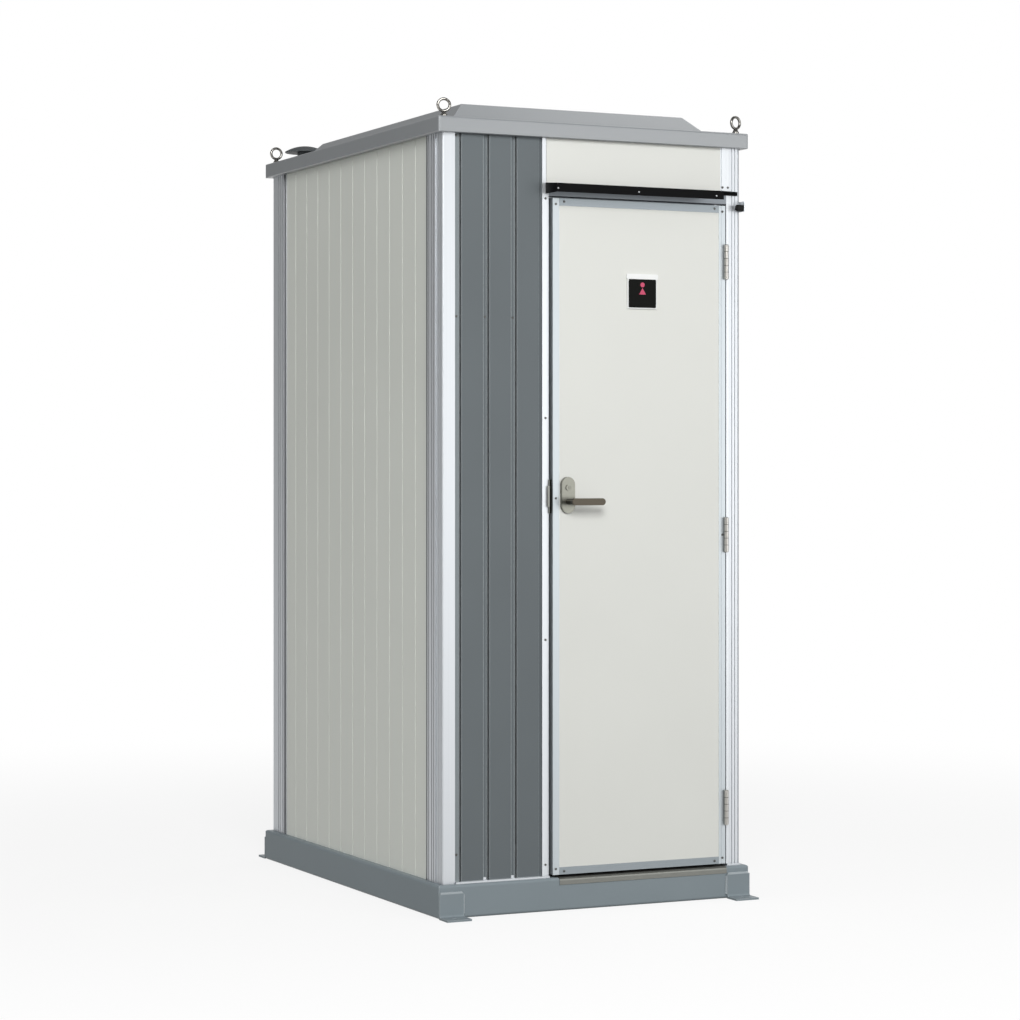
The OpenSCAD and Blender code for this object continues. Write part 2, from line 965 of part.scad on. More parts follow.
module door_panel() {
    inset = edging_w - edging_lap;
    color("gainsboro")
        difference() {
            span([leaf_l + inset, leaf_front + panel_recess, leaf_z + inset],
                 [leaf_r - inset, leaf_rear - panel_recess, leaf_top - inset]);
            spindle_hole(neck_r + neck_run);
        }
}

// The edging's section: a channel over the panel's edge, Y inward from the leaf's edge
module edging_section() {
    slot = door_t - 2 * panel_recess;
    lip_w = 8;
    lip_back = panel_recess / 2;
    difference() {
        square([door_t, edging_w]);
        translate([panel_recess - fit / 2, edging_w - edging_lap - fit])
            square([slot + fit, edging_lap + fit + eps]);
        for (y = [-eps, door_t - lip_back])
            translate([y, edging_w - lip_w])
                square([lip_back + eps, lip_w + eps]);
    }
}

module door_stiles() {
    color("lightsteelblue")
        difference() {
            union() {
                translate([leaf_l, leaf_front, leaf_z])
                    linear_extrude(door_h)
                        mirror([1, -1])
                            edging_section();
                translate([leaf_r, leaf_front, leaf_z])
                    linear_extrude(door_h)
                        mirror([1, 0])
                            mirror([1, -1])
                                edging_section();
            }
            keep_pocket(leaf_l - eps);
        }
}

module door_rails() {
    x0 = leaf_l + edging_w + fit;
    x1 = leaf_r - edging_w - fit;
    color("lightsteelblue") {
        translate([0, leaf_front, leaf_z])
            along_x(x0, x1)
                edging_section();
        translate([0, leaf_front, leaf_top])
            along_x(x0, x1)
                mirror([0, 1])
                    edging_section();
    }
}

// The lock's plate in the leaf's edge
module lock_faceplate() {
    color("tan")
        span([leaf_l, keep_y - keep_w / 2, keep_z - keep_h / 2],
             [leaf_l + keep_t, keep_y + keep_w / 2, keep_z + keep_h / 2]);
}

// An upright plate with round ends, standing out of the door's face towards -Y
module lock_plate(y) {
    bevel_w = 1.5;
    translate([lever_x, y, plate_z])
        rotate([90, 0, 0]) {
            linear_extrude(lock_plate_t - bevel_w)
                obround(lock_plate_w, lock_plate_h);
            linear_extrude(lock_plate_t)
                obround(lock_plate_w - 2 * bevel_w, lock_plate_h - 2 * bevel_w);
        }
}

module lock_plates() {
    face = leaf_front + panel_recess;
    back = leaf_rear - panel_recess;
    color("silver")
        difference() {
            union() {
                lock_plate(face);
                lock_plate(back + lock_plate_t);
            }
            spindle_hole(neck_r + neck_run);
        }
}

module lock_cylinder() {
    proud = 3;
    plug_r = 6.5;
    plug_back = 0.8;
    slot_w = 2;
    slot_h = 9;
    slot_depth = 2;
    y = leaf_front + panel_recess - lock_plate_t;
    color("silver")
        translate([lever_x, y, cylinder_z])
            rotate([90, 0, 0])
                difference() {
                    cylinder(r = cylinder_r, h = proud);
                    translate([0, 0, proud - plug_back])
                        cylinder(r = plug_r, h = plug_back + eps);
                    translate([-slot_w / 2, -slot_h / 2, proud - slot_depth])
                        cube([slot_w, slot_h, slot_depth + eps]);
                }
}

// An upright rectangle with rounded corners, its lower edge's middle at the origin
module rounded_plate(w, h, r) {
    difference() {
        translate([-w / 2, 0])
            square([w, h]);
        for (x = [0, 1], y = [0, 1])
            mirror([x, 0])
                translate([-w / 2, y * h])
                    mirror([0, y])
                        corner_cut(r);
    }
}

// Stands a flat outline on the door's face, low at the sign's lower edge, out of it by out to out + t
module on_door(up, out, t) {
    translate([sign_x, leaf_front + panel_recess - out, sign_z + up])
        rotate([90, 0, 0])
            linear_extrude(t)
                children();
}

// The holder: a plate behind the sign and a rail along its top with two clips
module sign_holder() {
    color("white") {
        on_door(0, 0, holder_t)
            rounded_plate(sign_w - 2 * holder_rim, sign_h + holder_rim, sign_r);
        on_door(sign_h + fit, 0, holder_t + sign_t)
            rounded_plate(sign_w + 2 * rail_over, rail_h, sign_r);
        for (side = [0, 1])
            mirror_at(sign_x, side)
                on_door(sign_h - clip_h, 0, holder_t + sign_t)
                    translate([sign_w / 2 + fit, 0])
                        polygon([[0, 0], [rail_over - fit, clip_h + sign_r], [0, clip_h + sign_r]]);
    }
}

// Mirrors about the upright plane at x when side is 1
module mirror_at(x, side) {
    translate([x, 0, 0])
        mirror([side, 0, 0])
            translate([-x, 0, 0])
                children();
}

module sign_plate() {
    color([0.05, 0.05, 0.05])
        on_door(0, holder_t, sign_t)
            rounded_plate(sign_w, sign_h, sign_r);
}

// The grip's outline, drawn in by the given amount
module grip_outline(inset) {
    r = lever_bar_h / 2;
    circle(r - inset);
    translate([lever_len - r, 0])
        circle(r - inset);
    translate([0, inset - r])
        square([lever_len - r, 2 * (r - inset)]);
}

// A lever on the -Y side of a plate's face: a round neck and a flat grip towards the hinges
module lever(y) {
    ease = 1.5;
    translate([lever_x, y, lever_axis_z])
        rotate([90, 0, 0]) {
            cylinder(r = neck_r, h = lever_stand + lever_bar_t / 2);
            translate([0, 0, lever_stand])
                linear_extrude(lever_bar_t)
                    grip_outline(ease);
            translate([0, 0, lever_stand + ease])
                linear_extrude(lever_bar_t - 2 * ease)
                    grip_outline(0);
        }
}

module lever_handle() {
    outer = leaf_front + panel_recess - lock_plate_t;
    inner = leaf_rear - panel_recess + lock_plate_t;
    color("silver") {
        lever(outer);
        translate([0, inner + outer, 0])
            mirror([0, 1, 0])
                lever(outer);
        translate([lever_x, outer - eps, lever_axis_z])
            rotate([-90, 0, 0])
                cylinder(r = neck_r, h = inner - outer + 2 * eps);
    }
}

base_front();
base_right();
base_rear();
base_left();
foot_front_left();
foot_front_right();
foot_rear_right();
foot_rear_left();
floor_panel();
threshold();
post_front_left();
post_front_right();
post_rear_right();
post_rear_left();
left_stiles();
right_stiles();
rear_stiles();
left_wall();
right_wall();
rear_wall();
front_panel();
cladding_starter();
cladding_board_left();
cladding_board_middle();
cladding_board_right();
front_sill();
jamb_left();
jamb_right();
door_head();
transom_panel();
rain_hood();
fascia_front();
fascia_right();
fascia_rear();
fascia_left();
ceiling_panel();
roof_pan();
vent_cap();
lifting_eyes();
frame_hinges();
strike_plate();
door_stop_strap();
door_stop();
door_panel();
door_stiles();
door_rails();
door_hinges();
lock_plates();
lock_cylinder();
lock_faceplate();
sign_holder();
sign_plate();
lever_handle();
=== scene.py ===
import json
import math

import bmesh
import bpy
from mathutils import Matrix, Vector


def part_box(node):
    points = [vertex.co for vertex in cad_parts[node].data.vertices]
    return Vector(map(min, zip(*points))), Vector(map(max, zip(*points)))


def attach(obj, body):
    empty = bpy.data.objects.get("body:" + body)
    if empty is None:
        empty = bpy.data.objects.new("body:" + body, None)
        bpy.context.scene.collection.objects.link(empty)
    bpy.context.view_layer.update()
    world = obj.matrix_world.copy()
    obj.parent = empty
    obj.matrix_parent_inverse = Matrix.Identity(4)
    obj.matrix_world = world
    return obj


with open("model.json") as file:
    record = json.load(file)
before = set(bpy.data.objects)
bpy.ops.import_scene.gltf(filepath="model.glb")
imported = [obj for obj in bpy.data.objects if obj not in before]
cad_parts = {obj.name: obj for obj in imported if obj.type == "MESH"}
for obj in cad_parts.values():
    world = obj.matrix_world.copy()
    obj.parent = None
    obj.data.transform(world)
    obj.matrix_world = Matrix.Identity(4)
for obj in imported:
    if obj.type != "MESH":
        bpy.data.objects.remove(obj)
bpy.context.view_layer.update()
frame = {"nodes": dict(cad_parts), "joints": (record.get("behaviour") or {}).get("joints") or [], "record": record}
nodes = frame["nodes"]
slot_of = {part["node"]: part["material_slot"] for part in frame["record"]["subparts"]}
joint_at = {joint["name"]: Vector(joint["pos_m"]) for joint in frame["joints"]}

MM = 0.001
X_AXIS = Vector((1, 0, 0))
Y_AXIS = Vector((0, 1, 0))
Z_AXIS = Vector((0, 0, 1))

# The image and the place it is taken from: level, at chest height, to the left of the doorway
IMAGE_PX = 1020
FOCAL_PX = 2795.6
HORIZON_PX = 475.5
SENSOR_MM = 36
CAMERA_AT = Vector((-3.684, -7.828, 1.242))
CAMERA_TURN = math.radians(25.5)

# Studio light, in metres and radians
DOME_LEVEL = 0.3
BACKDROP_WIDE = math.radians(16)
BACKDROP_FADE = math.radians(28)
FLOOR_RADIUS = 40.0
FLOOR_SIDES = 64
FLOOR_PALE_FROM = 1.2
FLOOR_PALE_TO = 5.0
FLOOR_PALE_NEAR = 0.82

# Pan-head screws with a cross recess, in millimetres
SCREW_R = 3.4
SCREW_RIM = 0.6
SCREW_TALL = 2.0
SCREW_FLAT_R = 2.2
RECESS_REACH = 1.9
RECESS_HALF = 0.45
RECESS_DEPTH = 1.1
SCREW_SIDES = 24
SHARP_ANGLE = math.radians(35)

# How far from a corner a coat is painted lighter as a highlight, and the lean of the rounded normal, as a cosine,
# at which the painted highlight is full and none
EDGE_HIGHLIGHT_MM = 3.0
EDGE_SAMPLES = 6
FULL_HIGHLIGHT_LEAN = 0.9
NO_HIGHLIGHT_LEAN = 0.99


def linear(hex_colour):
    """An sRGB hex colour as linear RGBA."""
    channels = [int(hex_colour[i:i + 2], 16) / 255 for i in (0, 2, 4)]
    curve = [c / 12.92 if c <= 0.04045 else ((c + 0.055) / 1.055) ** 2.4 for c in channels]
    return (*curve, 1.0)


def cycles(size_mm):
    """The texture scale at which one feature measures size_mm."""
    return 1 / (size_mm * MM)


def add(tree, kind, inputs=None, **settings):
    """Adds a node with its settings; an input is a value, or the socket that feeds it."""
    node = tree.nodes.new(kind)
    for name, value in settings.items():
        setattr(node, name, value)
    for name, value in (inputs or {}).items():
        if isinstance(value, bpy.types.NodeSocket):
            tree.links.new(value, node.inputs[name])
        else:
            node.inputs[name].default_value = value
    return node


def new_material(name, sockets):
    """A material with its shader's fixed values set, and its tree, shader and object coordinates."""
    material = bpy.data.materials.new(name)
    material.use_nodes = True
    tree = material.node_tree
    shader = tree.nodes["Principled BSDF"]
    for socket, value in sockets.items():
        shader.inputs[socket].default_value = value
    return material, tree, shader, add(tree, "ShaderNodeTexCoord").outputs["Object"]


def coat(tree, shader, tone_by, light, dark, rough_by, rough, relief_by, relief_mm, edge=None):
    """Feeds the shader's colour, roughness and relief from a pattern each; an edge colour paints a highlight along
    corners.
    """
    tone = add(tree, "ShaderNodeMix", {0: tone_by, 6: linear(dark), 7: linear(light)}, data_type="RGBA")
    # Painted highlight: near a corner the colour is mixed toward the lighter edge colour
    if edge:
        highlight_reach = {"Radius": EDGE_HIGHLIGHT_MM * MM}
        rounded = add(tree, "ShaderNodeBevel", highlight_reach, samples=EDGE_SAMPLES).outputs[0]
        flat = add(tree, "ShaderNodeNewGeometry").outputs["Normal"]
        lean = add(tree, "ShaderNodeVectorMath", {0: rounded, 1: flat}, operation="DOT_PRODUCT")
        highlight_mask = add(tree, "ShaderNodeMapRange", {
            "Value": lean.outputs["Value"],
            "From Min": FULL_HIGHLIGHT_LEAN, "From Max": NO_HIGHLIGHT_LEAN,
            "To Min": 1.0, "To Max": 0.0,
        }).outputs[0]
        pale = {0: highlight_mask, 6: tone.outputs[2], 7: linear(edge)}
        tone = add(tree, "ShaderNodeMix", pale, data_type="RGBA")
    gloss = add(tree, "ShaderNodeMapRange", {"Value": rough_by, "To Min": rough[0], "To Max": rough[1]})
    relief = add(tree, "ShaderNodeBump", {"Height": relief_by, "Distance": relief_mm * MM})
    tree.links.new(tone.outputs[2], shader.inputs["Base Color"])
    tree.links.new(gloss.outputs[0], shader.inputs["Roughness"])
    tree.links.new(relief.outputs[0], shader.inputs["Normal"])


# Camera, floor and light

def place_camera():
    data = bpy.data.cameras.new("camera")
    data.sensor_fit = "HORIZONTAL"
    data.sensor_width = SENSOR_MM
    data.lens = FOCAL_PX / IMAGE_PX * SENSOR_MM
    data.shift_y = (HORIZON_PX - IMAGE_PX / 2) / IMAGE_PX
    camera = bpy.data.objects.new("camera", data)
    camera.location = CAMERA_AT
    camera.rotation_euler = (math.pi / 2, 0, -CAMERA_TURN)
    bpy.context.collection.objects.link(camera)
    bpy.context.scene.camera = camera


def light_dome():
    """A grey dome with a white backdrop behind the object, its edge fading out."""
    world = bpy.data.worlds.new("studio")
    world.use_nodes = True
    bpy.context.scene.world = world
    tree = world.node_tree
    behind = (math.sin(CAMERA_TURN), math.cos(CAMERA_TURN), 0)
    ray = add(tree, "ShaderNodeTexCoord").outputs["Generated"]
    toward = add(tree, "ShaderNodeVectorMath", {0: ray, 1: behind}, operation="DOT_PRODUCT")
    level = add(tree, "ShaderNodeMapRange", {
        "Value": toward.outputs["Value"],
        "From Min": math.cos(BACKDROP_FADE), "From Max": math.cos(BACKDROP_WIDE),
        "To Min": DOME_LEVEL, "To Max": 1.0,
    }, interpolation_type="SMOOTHSTEP")
    tree.links.new(level.outputs["Result"], tree.nodes["Background"].inputs["Color"])


def softbox(name, place, aim, width, height, watts):
    data = bpy.data.lights.new(name, "AREA")
    data.shape = "RECTANGLE"
    data.size = width
    data.size_y = height
    data.energy = watts
    lamp = bpy.data.objects.new(name, data)
    lamp.location = place
    lamp.rotation_euler = (Vector(aim) - Vector(place)).to_track_quat("-Z", "Y").to_euler()
    bpy.context.collection.objects.link(lamp)


def floor_paper():
    """White seamless paper: matt, keeps the shadow near the object and is plain white further off."""
    material, tree, shader, spot = new_material("white_seamless_paper", {})
    tree.nodes.remove(shader)
    ray = add(tree, "ShaderNodeLightPath").outputs
    direct, mirrored, refracted = ray["Is Camera Ray"], ray["Is Glossy Ray"], ray["Is Transmission Ray"]
    seen = add(tree, "ShaderNodeMath", {0: direct, 1: mirrored}, operation="MAXIMUM")
    seen = add(tree, "ShaderNodeMath", {0: seen.outputs[0], 1: refracted}, operation="MAXIMUM")
    far = add(tree, "ShaderNodeVectorMath", {0: spot}, operation="LENGTH")
    pale = add(tree, "ShaderNodeMapRange", {
        "Value": far.outputs["Value"],
        "From Min": FLOOR_PALE_FROM, "From Max": FLOOR_PALE_TO,
        "To Min": FLOOR_PALE_NEAR, "To Max": 1.0,
    }, interpolation_type="SMOOTHSTEP")
    share = add(tree, "ShaderNodeMath", {0: pale.outputs[0], 1: seen.outputs[0]}, operation="MULTIPLY")
    tone = add(tree, "ShaderNodeMix", {
        0: seen.outputs[0], 6: linear("8C8C8A"), 7: linear("F8F8F8"),
    }, data_type="RGBA")
    matt = add(tree, "ShaderNodeBsdfDiffuse", {"Color": tone.outputs[2]})
    white = add(tree, "ShaderNodeEmission", {"Strength": 1.0})
    paper = add(tree, "ShaderNodeMixShader", {
        0: share.outputs[0], 1: matt.outputs[0], 2: white.outputs[0],
    })
    tree.links.new(paper.outputs[0], tree.nodes["Material Output"].inputs["Surface"])
    return material


def lay_floor():
    shape = bmesh.new()
    bmesh.ops.create_circle(shape, cap_ends=True, radius=FLOOR_RADIUS, segments=FLOOR_SIDES)
    mesh = bpy.data.meshes.new("floor")
    shape.to_mesh(mesh)
    shape.free()
    mesh.materials.append(floor_paper())
    floor = bpy.data.objects.new("floor", mesh)
    bpy.context.collection.objects.link(floor)


# Finishes

def grey_enamel(name, light, dark, edge, specular):
    """Satin enamel sprayed on steel: grey, with a painted highlight along its edges, and an orange peel drawn
    twice as wide.
    """
    patch_mm, peel_mm, peel_deep_mm = 240, 4, 0.06
    material, tree, shader, spot = new_material(name, {"IOR": 1.5, "Specular IOR Level": specular})
    cloud = add(tree, "ShaderNodeTexNoise", {
        "Vector": spot, "Scale": cycles(patch_mm), "Detail": 3.0,
    }).outputs[0]
    peel = add(tree, "ShaderNodeTexNoise", {
        "Vector": spot, "Scale": cycles(peel_mm), "Detail": 1.0,
    }).outputs[0]
    coat(tree, shader, cloud, light, dark, cloud, (0.28, 0.38), peel, peel_deep_mm, edge)
    return material


def matt_powder_coat(name, light, dark, edge):
    """Matt powder coat on extruded boards: dark, dry, with a painted highlight along its edges, grain drawn four
    times as wide.
    """
    patch_mm, grain_mm, grain_deep_mm = 300, 1.6, 0.05
    material, tree, shader, spot = new_material(name, {"IOR": 1.5, "Specular IOR Level": 0.2})
    cloud = add(tree, "ShaderNodeTexNoise", {
        "Vector": spot, "Scale": cycles(patch_mm), "Detail": 2.0,
    }).outputs[0]
    grain = add(tree, "ShaderNodeTexNoise", {
        "Vector": spot, "Scale": cycles(grain_mm), "Detail": 2.0,
    }).outputs[0]
    coat(tree, shader, cloud, light, dark, grain, (0.5, 0.64), grain, grain_deep_mm, edge)
    return material


def coil_coated_sheet(name, light, dark):
    """Polyester coil-coated steel skin: off-white and satin, with the rolled coat's faint stipple."""
    patch_mm, stipple_mm, stipple_deep_mm = 350, 3, 0.04
    material, tree, shader, spot = new_material(name, {"IOR": 1.48, "Specular IOR Level": 0.25})
    cloud = add(tree, "ShaderNodeTexNoise", {
        "Vector": spot, "Scale": cycles(patch_mm), "Detail": 3.0,
    }).outputs[0]
    stipple = add(tree, "ShaderNodeTexNoise", {
        "Vector": spot, "Scale": cycles(stipple_mm), "Detail": 2.0,
    }).outputs[0]
    coat(tree, shader, cloud, light, dark, cloud, (0.38, 0.5), stipple, stipple_deep_mm)
    return material


def anodised_aluminium(name, light, dark, along):
    """Clear anodised extrusion: pale silver, satin, with die lines along it, drawn five times as wide."""
    line_mm, line_deep_mm = 2.5, 0.02
    material, tree, shader, spot = new_material(name, {"Metallic": 0.85})
    pull = [1.0 if axis == along else cycles(line_mm) for axis in "XYZ"]
    lines = add(tree, "ShaderNodeMapping", {"Vector": spot, "Scale": pull}).outputs[0]
    die = add(tree, "ShaderNodeTexNoise", {"Vector": lines, "Scale": 1.0, "Detail": 3.0}).outputs[0]
    coat(tree, shader, die, light, dark, die, (0.4, 0.55), die, line_deep_mm)
    return material


def brushed_metal(name, light, dark, along, rough):
    """Brushed or plated metal: satin streaks along the brushing, drawn four times their real width."""
    streak_long_mm, streak_mm, streak_deep_mm = 30, 0.8, 0.01
    material, tree, shader, spot = new_material(name, {"Metallic": 1.0})
    pull = [cycles(streak_long_mm) if axis == along else cycles(streak_mm) for axis in "XYZ"]
    lines = add(tree, "ShaderNodeMapping", {"Vector": spot, "Scale": pull}).outputs[0]
    streak = add(tree, "ShaderNodeTexNoise", {"Vector": lines, "Scale": 1.0, "Detail": 3.0}).outputs[0]
    coat(tree, shader, streak, light, dark, streak, (rough - 0.06, rough + 0.08), streak, streak_deep_mm)
    return material


def moulded(name, light, dark, rough, grain_mm, specular):
    """Moulded plastic, rubber, lacquer, ink or a resin facing: one colour, with a fine skin."""
    patch_mm, skin_deep_mm = 60, 0.03
    material, tree, shader, spot = new_material(name, {"IOR": 1.5, "Specular IOR Level": specular})
    cloud = add(tree, "ShaderNodeTexNoise", {
        "Vector": spot, "Scale": cycles(patch_mm), "Detail": 3.0,
    }).outputs[0]
    skin = add(tree, "ShaderNodeTexNoise", {
        "Vector": spot, "Scale": cycles(grain_mm), "Detail": 2.0,
    }).outputs[0]
    coat(tree, shader, cloud, light, dark, skin, (rough - 0.05, rough + 0.07), skin, skin_deep_mm)
    return material


# Every record slot's finish, then the pieces that wear another tone of it; the tones of the rails, head, starter,
# lever and weld beads are painted shade and painted light
FINISH = {
    # The third colour of each enamel and powder coat is its painted edge highlight
    "skid_paint": grey_enamel("grey_enamel_skid", "889297", "808A8F", "A6AEB2", 0.06),
    "roof_paint": grey_enamel("grey_enamel_roof", "8B8F92", "84888B", "B4B8BB", 1.0),
    "post_aluminium": anodised_aluminium("anodised_aluminium_posts", "CBCED1", "B8BCC0", "Z"),
    "jamb_aluminium": anodised_aluminium("anodised_aluminium_jambs", "D1D4D7", "C0C4C7", "Z"),
    "wall_sheet": coil_coated_sheet("coil_coated_wall_sheet", "E5E8E1", "DEE1DA"),
    "cladding_paint": matt_powder_coat("matt_powder_coat_boards", "686F72", "61676A", "A8AEB1"),
    "door_sheet": coil_coated_sheet("coil_coated_door_sheet", "DBDCD7", "D5D6D1"),
    "door_edging": anodised_aluminium("anodised_aluminium_edging", "BBC1C4", "A7AEB2", "Z"),
    "stainless": brushed_metal("brushed_stainless_threshold", "83847F", "646561", "X", 0.4),
    "lock_nickel": brushed_metal("satin_nickel_lock", "7C7C74", "63645D", "X", 0.32),
    "hood_black": moulded("black_lacquer_hood", "0B0B0C", "060607", 0.34, 3.0, 0.04),
    "stop_rubber": moulded("black_rubber", "1C1C1C", "111111", 0.7, 1.2, 0.2),
    "vent_plastic": moulded("dark_grey_moulded_vent", "565A5C", "4A4E50", 0.5, 1.5, 0.3),
    "eye_zinc": brushed_metal("bright_zinc_plate", "96948F", "6E6C68", "Z", 0.14),
    "floor_board": moulded("resin_faced_plywood", "4A3B2E", "35291F", 0.45, 6.0, 0.3),
    "sign_clear": moulded("moulded_white_holder", "ECEDEC", "DFE1E0", 0.3, 1.5, 0.4),
    "sign_black": moulded("gloss_black_sign", "0B0C09", "070806", 0.25, 2.0, 0.04),
}
HINGE_ZINC = brushed_metal("bright_zinc_hinges", "BFBDB8", "9C9A95", "Z", 0.3)
NODE_FINISH = {
    # The edging's rails in a darker tone of the edging: painted shade
    "door_rails": anodised_aluminium("anodised_aluminium_edging_rails_shaded", "949B9F", "81888C", "X"),
    # The head in a dark tone of the jambs' aluminium: painted shadow under the rain hood
    "door_head": anodised_aluminium("anodised_aluminium_head_shaded", "878C91", "767B80", "X"),
    "front_sill": anodised_aluminium("anodised_aluminium_sill", "D6D9DC", "BFC3C7", "X"),
    # The starter strip in a lighter tone of the boards' coat: painted light
    "cladding_starter": matt_powder_coat("matt_powder_coat_starter_lit", "858C8F", "7D8487", "A8AEB1"),
    # The lever in a darker tone of the lock's nickel: painted shade
    "lever_handle": brushed_metal("shaded_nickel_lever", "48443D", "38342D", "X", 0.3),
    "door_stop_strap": anodised_aluminium("aluminium_strap", "E0E3E6", "CBCFD2", "Y"),
    "frame_hinges": HINGE_ZINC,
    "door_hinges": HINGE_ZINC,
}
SCREW_STEEL = brushed_metal("dark_zinc_screws", "6E6E6C", "4C4C4A", "Y", 0.34)
RIVET_ALUMINIUM = brushed_metal("bright_aluminium_rivets", "C4C6C7", "A6A9AB", "Y", 0.36)
# A lighter copy of the skid enamel for the weld beads: painted highlight
WELD_PAINT_LIT = grey_enamel("grey_enamel_welds_lit", "9BA4A8", "8D969A", "B4BBBF", 0.06)
PINK_PRINT = moulded("pink_screen_print", "C8506F", "BC4865", 0.45, 2.0, 0.2)


def dress_nodes():
    for name, node in nodes.items():
        finish = NODE_FINISH.get(name, FINISH[slot_of[name]])
        for slot in node.material_slots:
            slot.material = finish
        if not node.material_slots:
            node.data.materials.append(finish)


# Making the small pieces

def finished(shape, name, body, finish):
    """Turns a mesh in the making into a piece that rides on a body and wears a finish."""
    bmesh.ops.recalc_face_normals(shape, faces=shape.faces)
    mesh = bpy.data.meshes.new(name)
    shape.to_mesh(mesh)
    shape.free()
    mesh.shade_smooth()
    mesh.set_sharp_from_angle(angle=SHARP_ANGLE)
    mesh.materials.append(finish)
    item = bpy.data.objects.new(name, mesh)
    bpy.context.collection.objects.link(item)
    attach(item, body)


def joined(shape, rings):
    """Skins a row of rings of equal length with quads."""
    for low, high in zip(rings, rings[1:]):
        for i in range(len(low)):
            j = (i + 1) % len(low)
            shape.faces.new((low[i], low[j], high[j], high[i]))


def turned(shape, foot, out, profile):
    """A body turned about the line from foot along out, through (radius, height) pairs; open at its tip."""
    side = out.orthogonal().normalized()
    up = out.cross(side)
    turns = [2 * math.pi * i / SCREW_SIDES for i in range(SCREW_SIDES)]
    spokes = [math.cos(a) * side + math.sin(a) * up for a in turns]
    rings = []
    for radius, height in profile:
        centre = foot + height * MM * out
        rings.append([shape.verts.new(centre + radius * MM * spoke) for spoke in spokes])
    joined(shape, rings)
    shape.faces.new(rings[0])
    return rings[-1], side, up


def screw(shape, foot, out):
    """A pan-head screw: a domed head with a cross recess sunk in its flat."""
    dome_steps = 4
    quarter = [math.pi / 2 * i / dome_steps for i in range(dome_steps + 1)]
    dome = [(SCREW_FLAT_R + (SCREW_R - SCREW_FLAT_R) * math.cos(a),
             SCREW_RIM + (SCREW_TALL - SCREW_RIM) * math.sin(a)) for a in quarter]
    rim, side, up = turned(shape, foot, out, [(SCREW_R, 0)] + dome)
    arm = [(RECESS_REACH, -RECESS_HALF), (RECESS_REACH, RECESS_HALF), (RECESS_HALF, RECESS_HALF)]
    cross = []
    for quarter_turn in range(4):
        for a, b in arm:
            for _ in range(quarter_turn):
                a, b = -b, a
            cross.append(foot + MM * (a * side + b * up + SCREW_TALL * out))
    mouth = [shape.verts.new(point) for point in cross]
    bottom = [shape.verts.new(point - RECESS_DEPTH * MM * out) for point in cross]
    for i in range(len(mouth)):
        j = (i + 1) % len(mouth)
        ring = [rim[(2 * i + k) % SCREW_SIDES] for k in (-1, 0, 1)]
        shape.faces.new((mouth[i], *ring, mouth[j]))
    joined(shape, [mouth, bottom])
    shape.faces.new(bottom)


def dome_head(shape, foot, out, radius, tall):
    """A domed head, such as a rivet's or a pin's, with a small flat at its tip."""
    dome_steps = 5
    rise = [math.pi / 2 * i / dome_steps for i in range(dome_steps)]
    tip, _, _ = turned(shape, foot, out, [(radius * math.cos(a), tall * math.sin(a)) for a in rise])
    shape.faces.new(tip)


def drawn(shape, outline, start, run, across, up):
    """A straight length of one section, its outline in millimetres across and up."""
    near = [shape.verts.new(start + MM * (a * across + b * up)) for a, b in outline]
    far = [shape.verts.new(vert.co + run) for vert in near]
    joined(shape, [near, far])
    shape.faces.new(near)
    shape.faces.new(far)


def weld_bead(shape, start, end, out_a, out_b):
    """A hand-laid fillet bead in the corner between two faces, rippled along its length."""
    leg, ripple = 4.5, 3.0
    ripple_swell, wander_swell, wander_pace = 0.12, 0.06, 0.7
    ripple_steps, arc_steps = 4, 6
    run = end - start
    count = ripple_steps * round(run.length / (ripple * MM))
    arc = [math.pi / 2 * k / arc_steps for k in range(arc_steps + 1)]
    rings = []
    for i in range(count + 1):
        centre = start + run * (i / count)
        rippled = ripple_swell * math.cos(math.pi / 2 * i)
        wandered = wander_swell * math.sin(wander_pace * i)
        swell = leg * (1 + rippled + wandered) * MM
        points = [centre] + [centre + swell * (math.cos(a) * out_a + math.sin(a) * out_b) for a in arc]
        rings.append([shape.verts.new(point) for point in points])
    joined(shape, rings)
    shape.faces.new(rings[0])
    shape.faces.new(rings[-1])


# Fixings on the front

def front_screws():
    """Screws in the starter strip, the boards' tongues, the left jamb and the strips right of the door."""
    starter_low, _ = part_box("cladding_starter")
    jamb_low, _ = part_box("jamb_left")
    head_low, head_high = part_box("door_head")
    _, jamb_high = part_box("jamb_right")
    board_face, starter_in, tongue_back, strip_in, jamb_in = 2 * MM, 6 * MM, 7 * MM, 12 * MM, 3.6 * MM
    top_row, board_row, foot_row = 2.199, 1.69, 0.175
    jamb_rows = (2.033, 1.406, 0.773, 0.131)
    transom_row = 2.09
    tongue_y = starter_low.y + board_face
    shape = bmesh.new()
    for z in (top_row, board_row, foot_row):
        screw(shape, Vector((starter_low.x + starter_in, tongue_y, z)), -Y_AXIS)
    for board in ("cladding_board_left", "cladding_board_middle"):
        _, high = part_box(board)
        screw(shape, Vector((high.x - tongue_back, tongue_y, board_row)), -Y_AXIS)
    for z in jamb_rows:
        screw(shape, Vector(((jamb_low.x + head_low.x) / 2, jamb_low.y, z)), -Y_AXIS)
    for x in (head_high.x - strip_in, jamb_high.x - jamb_in):
        screw(shape, Vector((x, head_low.y, transom_row)), -Y_AXIS)
    finished(shape, "front_screws", "cabin", SCREW_STEEL)


